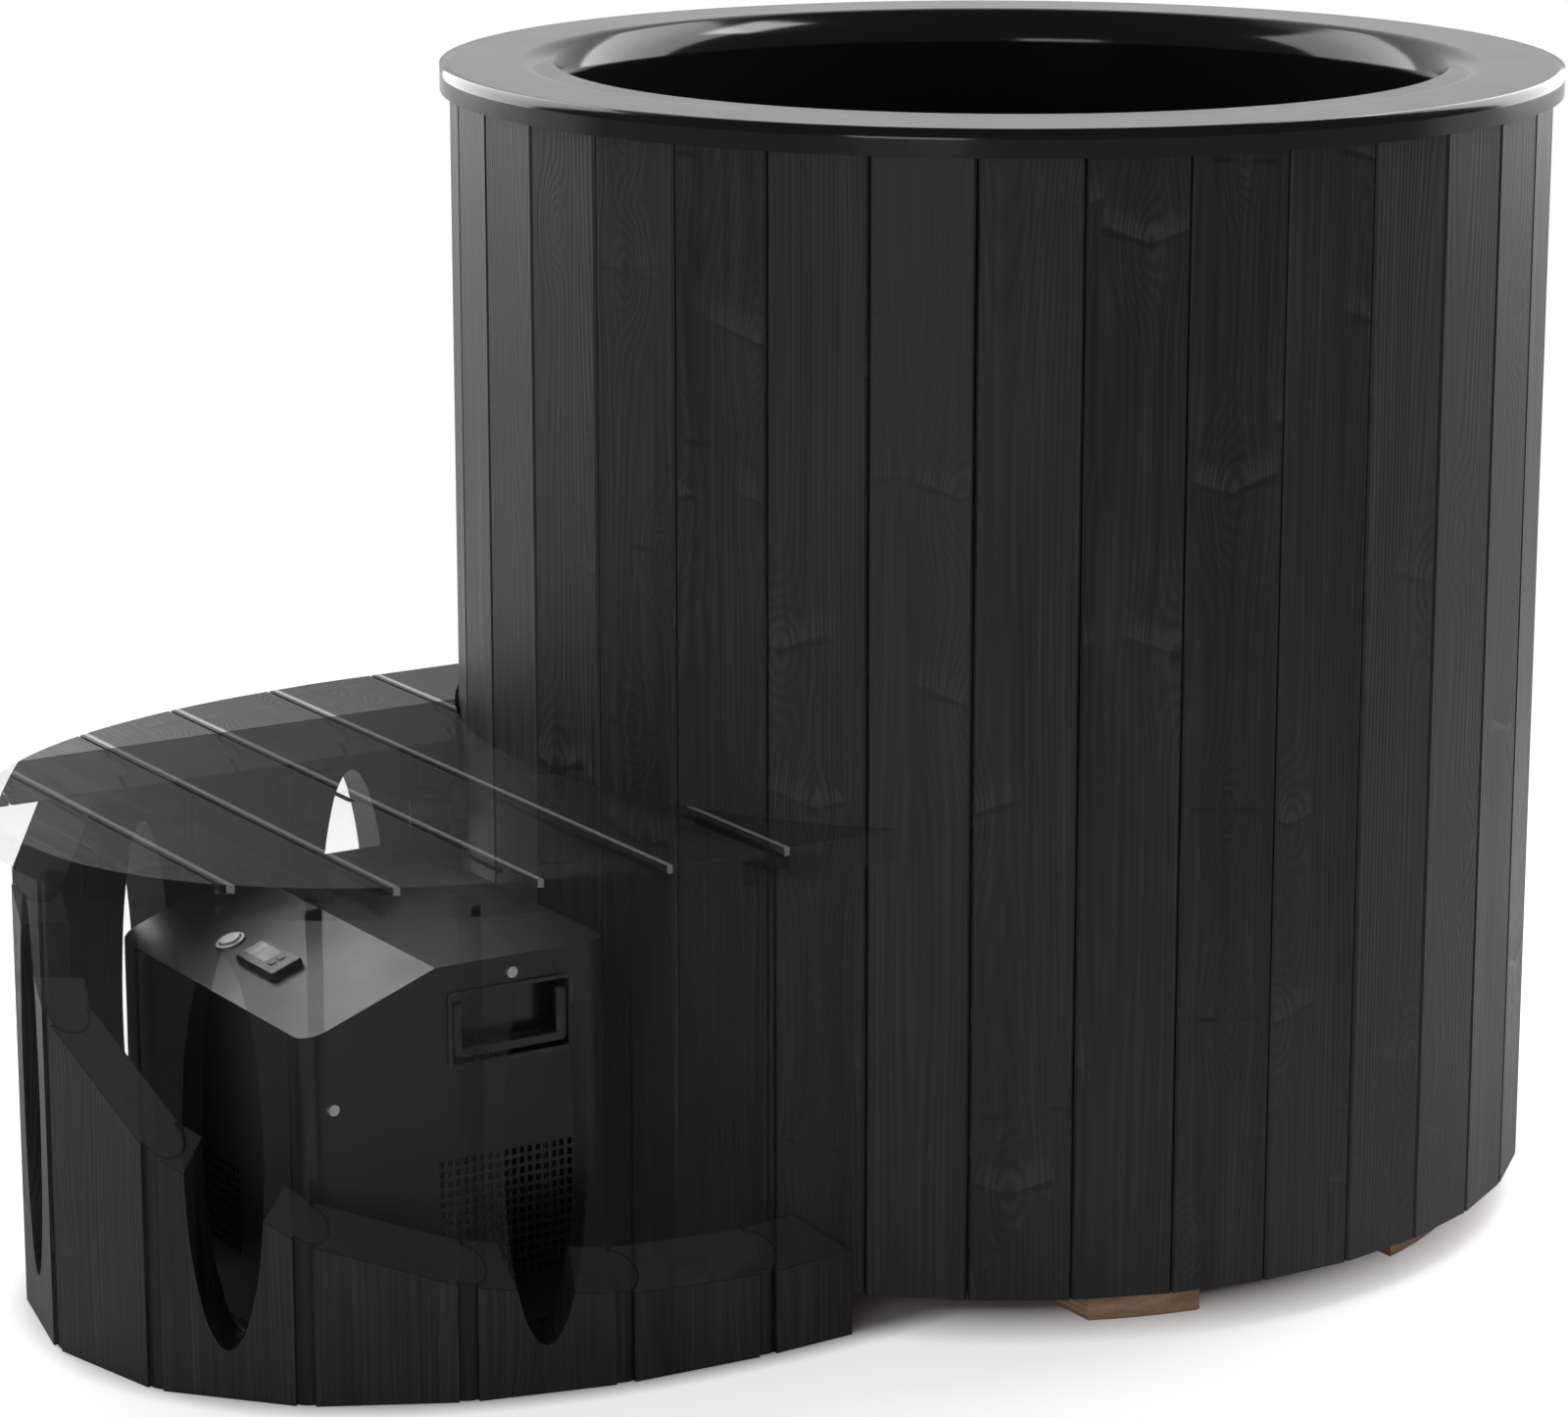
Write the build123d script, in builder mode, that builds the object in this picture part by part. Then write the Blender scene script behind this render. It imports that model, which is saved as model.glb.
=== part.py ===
from build123d import *
from math import atan2, copysign, cos, pi, radians, sin, tan
import os

# Cold plunge tub: a round, stave-clad tub with a moulded liner, and a rounded timber
# cabinet on its front side that houses the water chiller under a lift-off slatted deck.
# Origin: floor level, at the centre of the footprint. +Y from the cabinet to the tub, +Z up.

# Driving dimensions, mm

# tub
stave_count = 35
stave_corner_radius = 510.0
stave_thickness = 21.0
stave_gap = 1.0
stave_edge_ease = 2.2
stave_phase = -36.5
runner_height = 38.0
runner_width = 101.0
runner_inset = 46.0
runner_places = (-134.0, 198.0)
base_board_thickness = 18.0
floor_insulation = 50.0
liner_thickness = 6.0
liner_bore_radius = 414.0
liner_floor_fillet = 60.0
rim_top = 1070.0
rim_radius = 519.0
rim_skirt_depth = 24.0
rim_skirt_thickness = 5.0
rim_edge_fillet = 9.0
rim_hem_chamfer = 1.5
rim_mouth_fillet = 32.0
ring_width = 40.0
ring_places = (56.0, 530.0, 1010.0)
ring_depth = 18.0

# wall fittings and drain
fitting_bore = 18.0
fitting_flange_radius = 34.0
fitting_flange = 6.0
fitting_stave = -8
suction_height = 216.0
return_height = 368.0
spigot_radius = 12.5
spigot_length = 40.0
nut_radius = 29.0
nut_thickness = 12.0
drain_radius = 24.0
drain_flange_radius = 42.0
drain_foot_clearance = 14.0
plug_height = 16.0
plug_taper = 2.0

# cabinet wall
wall_thickness = 44.0
wall_cover = 139.4
wall_tip = 990.0
wall_height = 438.0
wall_tip_half_turn = 12.7
wall_turns = (28.8, 20.9, 13.7, 10.7, 6.1)
bead_radius = 18.5
bead_fit = 0.3
groove_width = 17.5
shoulder_depth = 6.0
inner_groove = 2.0
vent_width = 74.0
vent_height = 353.0
vent_middle = 220.0
vent_staves = (1, 3, 5, 7, 9)
vent_arc_ends = (-90, -75, -55, -25, 25, 55, 75, 90)

# deck
deck_thickness = 28.0
deck_centre = 474.0
deck_half_length = 536.0
deck_half_width = 373.0
deck_roundness = 2.2
deck_cover = 112.9
deck_first_joint = 475.0
deck_gap = 2.8
deck_tub_gap = 4.0
tongue_depth = 8.0
tongue_thickness = 11.0
tongue_rise = 9.0
tongue_fit = 0.4
cleat_width = 45.0
cleat_thickness = 20.0
cleat_place = 140.0
cleat_reach = (518.0, 872.0)

# chiller
casing_half_width = 189.5
casing_front = 834.0
casing_back = 535.0
casing_bottom = 12.5
casing_front_height = 304.6
casing_top = 351.3
casing_ridge = 708.5
casing_sheet = 1.5
casing_corner = 22.0
foot_radius = 16.0
foot_inset = 34.0
pan_depth = 18.0
grille_columns = 17
grille_rows = 13
grille_pitch = (7.95, 9.2)
grille_hole = (4.7, 6.0)
grille_margin = 3.0
grille_sheet = 1.5
side_grille_place = 641.5
side_grille_height = 117.0
left_columns = 9
left_rows = 7
front_columns = 14
front_rows = 9
front_grille_height = 113.6
panel_fit = 0.3

# handles on both sides of the chiller
handle_middle = 636.0
handle_height = 292.4
handle_size = (123.5, 69.0)
handle_rim = 4.0
handle_lip = 2.0
handle_cup_depth = 24.0
handle_cup_wall = 2.0
bail_width = 113.0
bail_arm = 10.0
bail_top = 316.0
bail_foot = 265.5
bail_thickness = 6.0
bail_inset = 5.0
bail_corner = 6.0
bail_edge = 1.5
pivot_radius = 2.5
pivot_drop = 5.0
pivot_reach = 1.8
pivot_fit = 0.05

# control panel on the sloped face
button_place = (-59.0, -11.5)
button_ring_radius = 14.0
button_ring_height = 2.4
button_radius = 10.5
button_height = 4.6
button_depth = 12.0
button_fit = 0.3
button_edge = 1.2
display_place = (18.0, -10.5)
display_size = (74.0, 32.0)
display_height = 7.0
display_wall = 2.0
display_corner = 3.0
window_size = (42.0, 19.0)
window_place = (-14.0, 2.0)
window_thickness = 1.6
key_size = (8.0, 6.0)
key_places = ((17.0, -4.5), (17.0, 4.5))
key_rise = 0.8
key_fit = 0.25
key_room = 1.0
screw_head_radius = 6.2
screw_head_height = 3.2
screw_shank_radius = 2.4
screw_length = 10.0
side_screws = ((809.5, 241.3), (634.4, 336.6), (809.5, 40.0), (560.0, 40.0))

# inside the chiller
condenser_size = (24.0, 130.0, 122.0)
condenser_fins = 20
fin_thickness = 0.8
condenser_gap = 5.0
header_thickness = 2.0
header_depth = 5.0
fan_radius = 54.0
fan_hub_radius = 17.0
fan_blades = 5
fan_blade_thickness = 1.6
blade_chord = 24.0
blade_pitch = 32.0
fan_depth = 16.0
fan_gap = 3.0
shroud_thickness = 3.0
shaft_radius = 4.0
shaft_fit = 0.05
motor_radius = 24.0
motor_length = 46.0
compressor_radius = 56.0
compressor_height = 170.0
compressor_dome = 30.0
compressor_place = (-40.0, -604.0)
vessel_radius = 42.0
vessel_height = 210.0
vessel_place = (-112.0, -762.0)
pump_radius = 30.0
pump_length = 84.0
pump_height = 70.0
pump_place = (-140.0, -640.0)
control_box_size = (118.0, 60.0, 74.0)
control_box_place = (36.0, 206.0)
spigot_places = ((-584.0, 96.0), (-584.0, 176.0))
spigot_flange_radius = 18.0
spigot_flange = 5.0
spigot_tail = 14.0
spigot_wall = 3.0
gland_place = (-760.0, 252.0)
gland_radius = 8.0
gland_nut_radius = 12.0
gland_length = 16.0
cable_radius = 4.0
seat_gap = 0.3

# Worked out from the driving dimensions
deck_reach = deck_centre + deck_half_length
tub_y = (deck_reach - rim_radius) / 2
tub = Plane((0, tub_y, 0))
stave_angle = 360.0 / stave_count
stave_apothem = stave_corner_radius * cos(pi / stave_count)
stave_inner = stave_apothem - stave_thickness
rim_lower = rim_top - rim_skirt_depth
flange_under = rim_top - liner_thickness
base_top = runner_height + base_board_thickness
liner_under = base_top + floor_insulation
liner_floor = liner_under + liner_thickness
liner_outer = liner_bore_radius + liner_thickness
stave_top = flange_under - 2.0
foam_outer = stave_inner - ring_depth - 2 * seat_gap
fitting_angle = stave_phase + stave_angle * (fitting_stave + 0.5)

os.makedirs("parts", exist_ok=True)


def save(piece, label):
    piece.label = label
    export_step(piece, f"parts/{label}.step")


def at_tub(x, y, z=0.0):
    return (x, tub_y + y, z)


def upright(x, y, z, facing):
    # a plane whose normal lies level, at the angle called facing, with its own Y up
    normal = (cos(radians(facing)), sin(radians(facing)), 0)
    return Plane(origin=at_tub(x, y, z), x_dir=(-normal[1], normal[0], 0), z_dir=normal)


# Runners: two beams under the tub, their ends sawn to the tub's round

for number, place in enumerate(runner_places, 1):
    with BuildPart() as runner:
        with BuildSketch(tub) as plan:
            Circle(stave_corner_radius - runner_inset)
            with Locations((0, place)):
                Rectangle(2 * stave_corner_radius, runner_width, mode=Mode.INTERSECT)
        extrude(amount=runner_height)
        chamfer(runner.edges().group_by(Axis.Z)[0], length=2.0)
    save(runner.part, f"runner_{number}")

# Base board, insulation and fixing rings inside the staves

with BuildPart() as base_board:
    with BuildSketch(tub.offset(runner_height)):
        RegularPolygon(stave_inner - seat_gap, stave_count, major_radius=False, rotation=stave_phase)
        Circle(drain_radius + seat_gap, mode=Mode.SUBTRACT)
    extrude(amount=base_board_thickness)
save(base_board.part, "base_board")

with BuildPart() as insulation:
    with BuildSketch(tub.offset(base_top)):
        Circle(foam_outer)
        Circle(drain_radius + seat_gap, mode=Mode.SUBTRACT)
    extrude(amount=floor_insulation - seat_gap)
    with BuildSketch(tub.offset(base_top)):
        Circle(foam_outer)
        Circle(liner_outer + seat_gap, mode=Mode.SUBTRACT)
    extrude(amount=flange_under - base_top - seat_gap)
    for height in (suction_height, return_height):
        with BuildSketch(upright(0, 0, height, fitting_angle)):
            Circle(fitting_bore + seat_gap)
        extrude(amount=stave_corner_radius, mode=Mode.SUBTRACT)
save(insulation.part, "insulation")

with BuildPart() as rings:
    for height in ring_places:
        with BuildSketch(tub.offset(height)):
            RegularPolygon(stave_inner - seat_gap, stave_count, major_radius=False, rotation=stave_phase)
            Circle(foam_outer + seat_gap, mode=Mode.SUBTRACT)
        extrude(amount=ring_width)
save(rings.part, "fixing_rings")

# Liner: one moulded shell with floor, wall, rolled mouth, flat rim and turned-down skirt

with BuildPart() as liner:
    with BuildSketch(Plane(origin=at_tub(0, 0), x_dir=(1, 0, 0), z_dir=(0, -1, 0))) as half:
        with BuildLine():
            Polyline(
                (0, liner_floor),
                (liner_bore_radius, liner_floor),
                (liner_bore_radius, rim_top),
                (rim_radius, rim_top),
                (rim_radius, rim_lower),
                (rim_radius - rim_skirt_thickness, rim_lower),
                (rim_radius - rim_skirt_thickness, flange_under),
                (liner_outer, flange_under),
                (liner_outer, liner_under),
                (0, liner_under),
                close=True,
            )
        make_face()
        corners = half.vertices()
        wet_corner = corners.sort_by_distance((liner_bore_radius, tub_y, liner_floor))[0]
        dry_corner = corners.sort_by_distance((liner_outer, tub_y, liner_under))[0]
        mouth = corners.sort_by_distance((liner_bore_radius, tub_y, rim_top))[0]
        throat = corners.sort_by_distance((liner_outer, tub_y, flange_under))[0]
        edge = corners.sort_by_distance((rim_radius, tub_y, rim_top))[0]
        hem = corners.sort_by_distance((rim_radius, tub_y, rim_lower))[0]
        fillet(wet_corner, radius=liner_floor_fillet)
        fillet(dry_corner, radius=liner_floor_fillet + liner_thickness)
        fillet(mouth, radius=rim_mouth_fillet)
        fillet(throat, radius=rim_mouth_fillet - liner_thickness)
        fillet(edge, radius=rim_edge_fillet)
        chamfer(hem, length=rim_hem_chamfer)
    revolve(axis=Axis(at_tub(0, 0), (0, 0, 1)))
    with BuildSketch(tub):
        Circle(drain_radius + seat_gap)
    extrude(amount=liner_floor + 1.0, mode=Mode.SUBTRACT)
    for height in (suction_height, return_height):
        with BuildSketch(upright(0, 0, height, fitting_angle)):
            Circle(fitting_bore + seat_gap)
        extrude(amount=stave_corner_radius, mode=Mode.SUBTRACT)
save(liner.part, "liner")

# Tub staves: flat boards set round the tub, each with bevelled sides and eased face edges

with BuildPart() as tub_staves:
    for index in range(stave_count):
        facing = stave_phase + (index + 0.5) * stave_angle
        with BuildSketch(Plane(tub.origin, x_dir=(cos(radians(facing)), sin(radians(facing)), 0))
                         .offset(runner_height)):
            outer_half = stave_apothem * tan(pi / stave_count) - stave_gap / 2
            inner_half = stave_inner * tan(pi / stave_count) - stave_gap / 2
            with BuildLine():
                Polyline(
                    (stave_inner, -inner_half),
                    (stave_apothem - stave_edge_ease, -outer_half + stave_edge_ease * tan(pi / stave_count)),
                    (stave_apothem, -outer_half + stave_edge_ease),
                    (stave_apothem, outer_half - stave_edge_ease),
                    (stave_apothem - stave_edge_ease, outer_half - stave_edge_ease * tan(pi / stave_count)),
                    (stave_inner, inner_half),
                    close=True,
                )
            make_face()
        extrude(amount=stave_top - runner_height)
    for height in (suction_height, return_height):
        with BuildSketch(upright(0, 0, height, fitting_angle)):
            Circle(fitting_bore + seat_gap)
        extrude(amount=stave_corner_radius, mode=Mode.SUBTRACT)
save(tub_staves.part, "tub_staves")

# Wall fittings: a flanged tail through liner, foam and stave, a nut, and a hose spigot

for label, height in (("suction", suction_height), ("return", return_height)):
    section = Plane(
        origin=at_tub(0, 0, height),
        x_dir=(cos(radians(fitting_angle)), sin(radians(fitting_angle)), 0),
        z_dir=(sin(radians(fitting_angle)), -cos(radians(fitting_angle)), 0),
    )
    flange_seat = (liner_bore_radius ** 2 - fitting_flange_radius ** 2) ** 0.5 - seat_gap
    spigot_start = stave_apothem + nut_thickness
    with BuildPart() as fitting:
        with BuildSketch(section):
            with BuildLine():
                Polyline(
                    (flange_seat - fitting_flange, spigot_radius - 4),
                    (flange_seat - fitting_flange, fitting_flange_radius - 3),
                    (flange_seat - fitting_flange / 2, fitting_flange_radius),
                    (flange_seat, fitting_flange_radius),
                    (flange_seat, fitting_bore),
                    (spigot_start, fitting_bore),
                    (spigot_start, spigot_radius),
                    (spigot_start + spigot_length, spigot_radius),
                    (spigot_start + spigot_length, spigot_radius - 4),
                    close=True,
                )
            make_face()
        revolve(axis=Axis(section.origin, section.x_dir))
    save(fitting.part, f"{label}_fitting")

with BuildPart() as nuts:
    for height in (suction_height, return_height):
        with BuildSketch(upright(0, 0, height, fitting_angle).offset(stave_apothem)):
            RegularPolygon(nut_radius, 6)
            Circle(fitting_bore + seat_gap, mode=Mode.SUBTRACT)
        extrude(amount=nut_thickness)
save(nuts.part, "fitting_nuts")

# Drain: a flanged tail through the floor of the tub, and its lift-out plug

with BuildPart() as drain:
    with BuildSketch(Plane(origin=at_tub(0, 0), x_dir=(1, 0, 0), z_dir=(0, -1, 0))):
        with BuildLine():
            Polyline(
                (drain_radius - 5, drain_foot_clearance),
                (drain_radius, drain_foot_clearance),
                (drain_radius, liner_floor + seat_gap),
                (drain_flange_radius, liner_floor + seat_gap),
                (drain_flange_radius - 2, liner_floor + 3.5),
                (drain_radius - 5 + plug_taper, liner_floor + 3.5),
                (drain_radius - 5, liner_floor + 3.5 - plug_height),
                close=True,
            )
        make_face()
    revolve(axis=Axis(at_tub(0, 0), (0, 0, 1)))
save(drain.part, "drain_fitting")

with BuildPart() as plug:
    with BuildSketch(Plane(origin=at_tub(0, 0), x_dir=(1, 0, 0), z_dir=(0, -1, 0))):
        plug_foot = drain_radius - 5 - seat_gap
        plug_floor = liner_floor + 3.5 - plug_height
        with BuildLine():
            Polyline(
                (0, plug_floor),
                (plug_foot, plug_floor),
                (plug_foot + plug_taper, liner_floor + 3.5),
                (plug_foot + 6, liner_floor + 3.5 + seat_gap),
                (plug_foot + 6, liner_floor + 7),
                (5, liner_floor + 9),
                (5, liner_floor + 16),
                (9, liner_floor + 18),
                (9, liner_floor + 24),
                (0, liner_floor + 26),
                close=True,
            )
        make_face()
    revolve(axis=Axis(at_tub(0, 0), (0, 0, 1)))
save(plug.part, "drain_plug")

# Cabinet wall: mitred staves with a bead on one edge and a cove on the other, turned
# joint by joint from the tip of the cabinet back to the tub on both sides

half_headings = [wall_tip_half_turn]
for turn in wall_turns:
    half_headings.append(half_headings[-1] + turn)
headings = [-heading for heading in reversed(half_headings)] + half_headings
joints = [(0.0, -wall_tip)]
for heading in half_headings:
    x, y = joints[-1]
    joints.append((x + wall_cover * cos(radians(heading)), y + wall_cover * sin(radians(heading))))
joints = [(-x, y) for x, y in reversed(joints[1:])] + joints
side_turns = list(wall_turns) + [wall_turns[-1]]
turns = list(reversed(side_turns)) + [2 * wall_tip_half_turn] + side_turns


def vent_edge(side, angle):
    # a point on the edge of an upright oval vent, the angle counted from its middle
    across = vent_width / 2 * cos(radians(angle))
    return (wall_cover / 2 + side * across, vent_middle + vent_height / 2 * sin(radians(angle)))



for index, heading in enumerate(headings):
    lean_in = tan(radians(turns[index] / 2))
    lean_out = tan(radians(turns[index + 1] / 2))
    middle = wall_thickness / 2
    direction = (cos(radians(heading)), sin(radians(heading)), 0)
    corner = at_tub(*joints[index])
    with BuildPart() as wall_stave:
        with BuildSketch(Plane(origin=corner, x_dir=direction)):
            with BuildLine():
                Polyline(
                    (groove_width / 2, 0),
                    (groove_width / 2, shoulder_depth),
                    (middle * lean_in, middle),
                    (wall_thickness * lean_in + inner_groove, wall_thickness),
                    (wall_cover - wall_thickness * lean_out - inner_groove, wall_thickness),
                    (wall_cover - middle * lean_out, middle),
                    (wall_cover - groove_width / 2, shoulder_depth),
                    (wall_cover - groove_width / 2, 0),
                    close=True,
                )
            make_face()
            with Locations((wall_cover - middle * lean_out, middle)):
                Circle(bead_radius)
            with Locations((middle * lean_in, middle)):
                Circle(bead_radius + bead_fit, mode=Mode.SUBTRACT)
        extrude(amount=wall_height)
        if index in (0, len(headings) - 1):
            with BuildSketch(tub):
                Circle(stave_corner_radius + 2 * seat_gap)
            extrude(amount=wall_height, mode=Mode.SUBTRACT)
        if index in vent_staves:
            face = Plane(origin=corner, x_dir=direction, z_dir=(direction[1], -direction[0], 0))
            with BuildSketch(face.offset(1.0)):
                with BuildLine():
                    for side in (-1, 1):
                        for start, end in zip(vent_arc_ends, vent_arc_ends[1:]):
                            ThreePointArc(*[vent_edge(side, a) for a in (start, (start + end) / 2, end)])
                make_face()
            extrude(amount=-wall_thickness - 2.0, mode=Mode.SUBTRACT)
    save(wall_stave.part, f"wall_stave_{index + 1:02d}")

# Deck: tongued boards across the cabinet, sawn to a rounded outline and round the tub

def deck_edge(angle):
    c = cos(angle)
    s = sin(angle)
    power = 2 / deck_roundness
    x = deck_half_width * copysign(abs(c) ** power, c)
    y = -deck_centre - deck_half_length * abs(s) ** power
    return (x, y)


with BuildPart() as deck_blank:
    with BuildSketch(tub.offset(wall_height)):
        with BuildLine():
            edge_line = Spline([deck_edge(pi * step / 24) for step in range(25)],
                               tangents=[(0, -1), (0, 1)])
            Polyline(edge_line @ 1, (-deck_half_width, 0), (deck_half_width, 0), edge_line @ 0)
        make_face()
        Circle(stave_corner_radius + deck_tub_gap, mode=Mode.SUBTRACT)
    extrude(amount=deck_thickness)

deck_joint_places = [deck_first_joint + deck_cover * step for step in range(5)]
board_edges = [0.0] + deck_joint_places + [deck_reach + 1.0]
tongue_low = wall_height + tongue_rise
for index in range(6):
    near, far = board_edges[index], board_edges[index + 1]
    near_edge = near if index == 0 else near + deck_gap / 2
    far_edge = far if index == 5 else far - deck_gap / 2
    with BuildPart() as board:
        add(deck_blank.part)
        with BuildSketch(tub.offset(wall_height)):
            with Locations((0, -(near_edge + far_edge) / 2)):
                Rectangle(3 * deck_half_width, far_edge - near_edge)
        extrude(amount=deck_thickness, mode=Mode.INTERSECT)
        if index < 5:
            groove_depth = tongue_depth + tongue_fit
            with BuildSketch(tub.offset(tongue_low - tongue_fit)):
                with Locations((0, -far_edge + groove_depth / 2)):
                    Rectangle(3 * deck_half_width, groove_depth)
            extrude(amount=tongue_thickness + 2 * tongue_fit, mode=Mode.SUBTRACT)
    with BuildPart() as tongue:
        if index > 0:
            add(deck_blank.part)
            with BuildSketch(tub.offset(tongue_low)):
                with Locations((0, -near + tongue_depth / 2)):
                    Rectangle(3 * deck_half_width, tongue_depth + deck_gap)
            extrude(amount=tongue_thickness, mode=Mode.INTERSECT)
    with BuildPart() as deck_board:
        add(board.part)
        if index > 0:
            add(tongue.part)
    save(deck_board.part, f"deck_board_{index + 1}")

# Deck cleats: two bearers screwed under the boards, their ends clear of wall and tub

for number, side in enumerate((-1, 1), 1):
    with BuildPart() as cleat:
        with BuildSketch(tub.offset(wall_height - cleat_thickness)):
            with Locations((side * cleat_place, -(cleat_reach[0] + cleat_reach[1]) / 2)):
                Rectangle(cleat_width, cleat_reach[1] - cleat_reach[0])
        extrude(amount=cleat_thickness)
        chamfer(cleat.faces().sort_by(Axis.Z)[0].edges(), length=2.0)
    save(cleat.part, f"deck_cleat_{number}")

# Chiller casing: a folded sheet cover, open below, with a sloped front edge

casing_middle = -(casing_front + casing_back) / 2
casing_depth = casing_front - casing_back
inner_half_width = casing_half_width - casing_sheet
slope_angle = atan2(casing_top - casing_front_height, casing_front - casing_ridge)
panel = Plane(
    origin=at_tub(0, -(casing_front + casing_ridge) / 2, (casing_front_height + casing_top) / 2),
    x_dir=(1, 0, 0),
    z_dir=(0, -sin(slope_angle), cos(slope_angle)),
)


def on_side(side, y, z, depth=0.0):
    # a plane on the left (-1) or right (+1) face of the casing, normal outwards
    return Plane(
        origin=at_tub(side * (casing_half_width - depth), y, z),
        x_dir=(0, side, 0),
        z_dir=(side, 0, 0),
    )


def on_front(x, z, depth=0.0):
    return Plane(origin=at_tub(x, -casing_front + depth, z), x_dir=(1, 0, 0), z_dir=(0, -1, 0))


grille_seats = {
    "right": (on_side(1, -side_grille_place, side_grille_height), grille_columns, grille_rows),
    "left": (on_side(-1, -side_grille_place, side_grille_height), left_columns, left_rows),
    "front": (on_front(0, front_grille_height), front_columns, front_rows),
}
screw_planes = [on_side(side, -y, z) for side in (-1, 1) for y, z in side_screws]
spigot_planes = [on_side(-1, y, z) for y, z in spigot_places]
gland_plane = on_side(-1, *gland_place)

with BuildPart() as casing:
    with BuildSketch(tub.offset(casing_bottom)):
        with Locations((0, casing_middle)):
            RectangleRounded(2 * casing_half_width, casing_depth, casing_corner)
    extrude(amount=casing_top - casing_bottom)
    with BuildSketch(Plane(origin=at_tub(-casing_half_width, 0), x_dir=(0, 1, 0), z_dir=(1, 0, 0))):
        with BuildLine():
            Polyline(
                (-casing_front - 1, casing_front_height - tan(slope_angle)),
                (-casing_ridge, casing_top),
                (-casing_ridge, casing_top + 1),
                (-casing_front - 1, casing_top + 1),
                close=True,
            )
        make_face()
    extrude(amount=2 * casing_half_width, mode=Mode.SUBTRACT)
    offset(amount=-casing_sheet, openings=casing.faces().sort_by(Axis.Z)[0])
    for seat, columns, rows in grille_seats.values():
        with BuildSketch(seat):
            Rectangle(columns * grille_pitch[0] + 2 * panel_fit, rows * grille_pitch[1] + 2 * panel_fit)
        extrude(amount=-2 * casing_sheet, mode=Mode.SUBTRACT)
    for side in (-1, 1):
        with BuildSketch(on_side(side, -handle_middle, handle_height)):
            Rectangle(handle_size[0] - 4.0, handle_size[1] - 4.0)
        extrude(amount=-2 * casing_sheet, mode=Mode.SUBTRACT)
    for screw_plane in screw_planes:
        with BuildSketch(screw_plane):
            Circle(screw_shank_radius + seat_gap)
        extrude(amount=-2 * casing_sheet, mode=Mode.SUBTRACT)
    for spigot_plane in spigot_planes:
        with BuildSketch(spigot_plane):
            Circle(spigot_radius + seat_gap)
        extrude(amount=-2 * casing_sheet, mode=Mode.SUBTRACT)
    with BuildSketch(gland_plane):
        Circle(gland_radius + seat_gap)
    extrude(amount=-2 * casing_sheet, mode=Mode.SUBTRACT)
    with BuildSketch(panel):
        with Locations(button_place):
            Circle(button_radius + button_fit)
    extrude(amount=-2 * casing_sheet, mode=Mode.SUBTRACT)
save(casing.part, "chiller_casing")

with BuildPart() as base_pan:
    with BuildSketch(tub.offset(casing_bottom)):
        with Locations((0, casing_middle)):
            RectangleRounded(
                2 * (inner_half_width - seat_gap),
                casing_depth - 2 * (casing_sheet + seat_gap),
                casing_corner - casing_sheet - seat_gap,
            )
    extrude(amount=pan_depth)
    offset(amount=-casing_sheet, openings=base_pan.faces().sort_by(Axis.Z)[-1])
save(base_pan.part, "chiller_base_pan")
pan_top = casing_bottom + casing_sheet

with BuildPart() as feet:
    with BuildSketch(tub):
        with Locations((0, casing_middle)):
            with GridLocations(2 * (casing_half_width - foot_inset), casing_depth - 2 * foot_inset, 2, 2):
                Circle(foot_radius)
    extrude(amount=casing_bottom, taper=6)
save(feet.part, "chiller_feet")

# Grilles: perforated plates with a flange that bears on the inside of the casing

for label, (seat, columns, rows) in grille_seats.items():
    width = columns * grille_pitch[0]
    height = rows * grille_pitch[1]
    with BuildPart() as grille:
        with BuildSketch(seat.offset(-casing_sheet)):
            Rectangle(width, height)
        extrude(amount=casing_sheet)
        with BuildSketch(seat.offset(-casing_sheet)):
            Rectangle(width + 2 * grille_margin, height + 2 * grille_margin)
        extrude(amount=-grille_sheet)
        with BuildSketch(seat):
            with GridLocations(grille_pitch[0], grille_pitch[1], columns, rows):
                Rectangle(*grille_hole)
        extrude(amount=-2 * (casing_sheet + grille_sheet), mode=Mode.SUBTRACT)
    save(grille.part, f"chiller_grille_{label}")

# Carrying handles: a pocket let into each side and a bail hinged at its top corners

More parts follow.
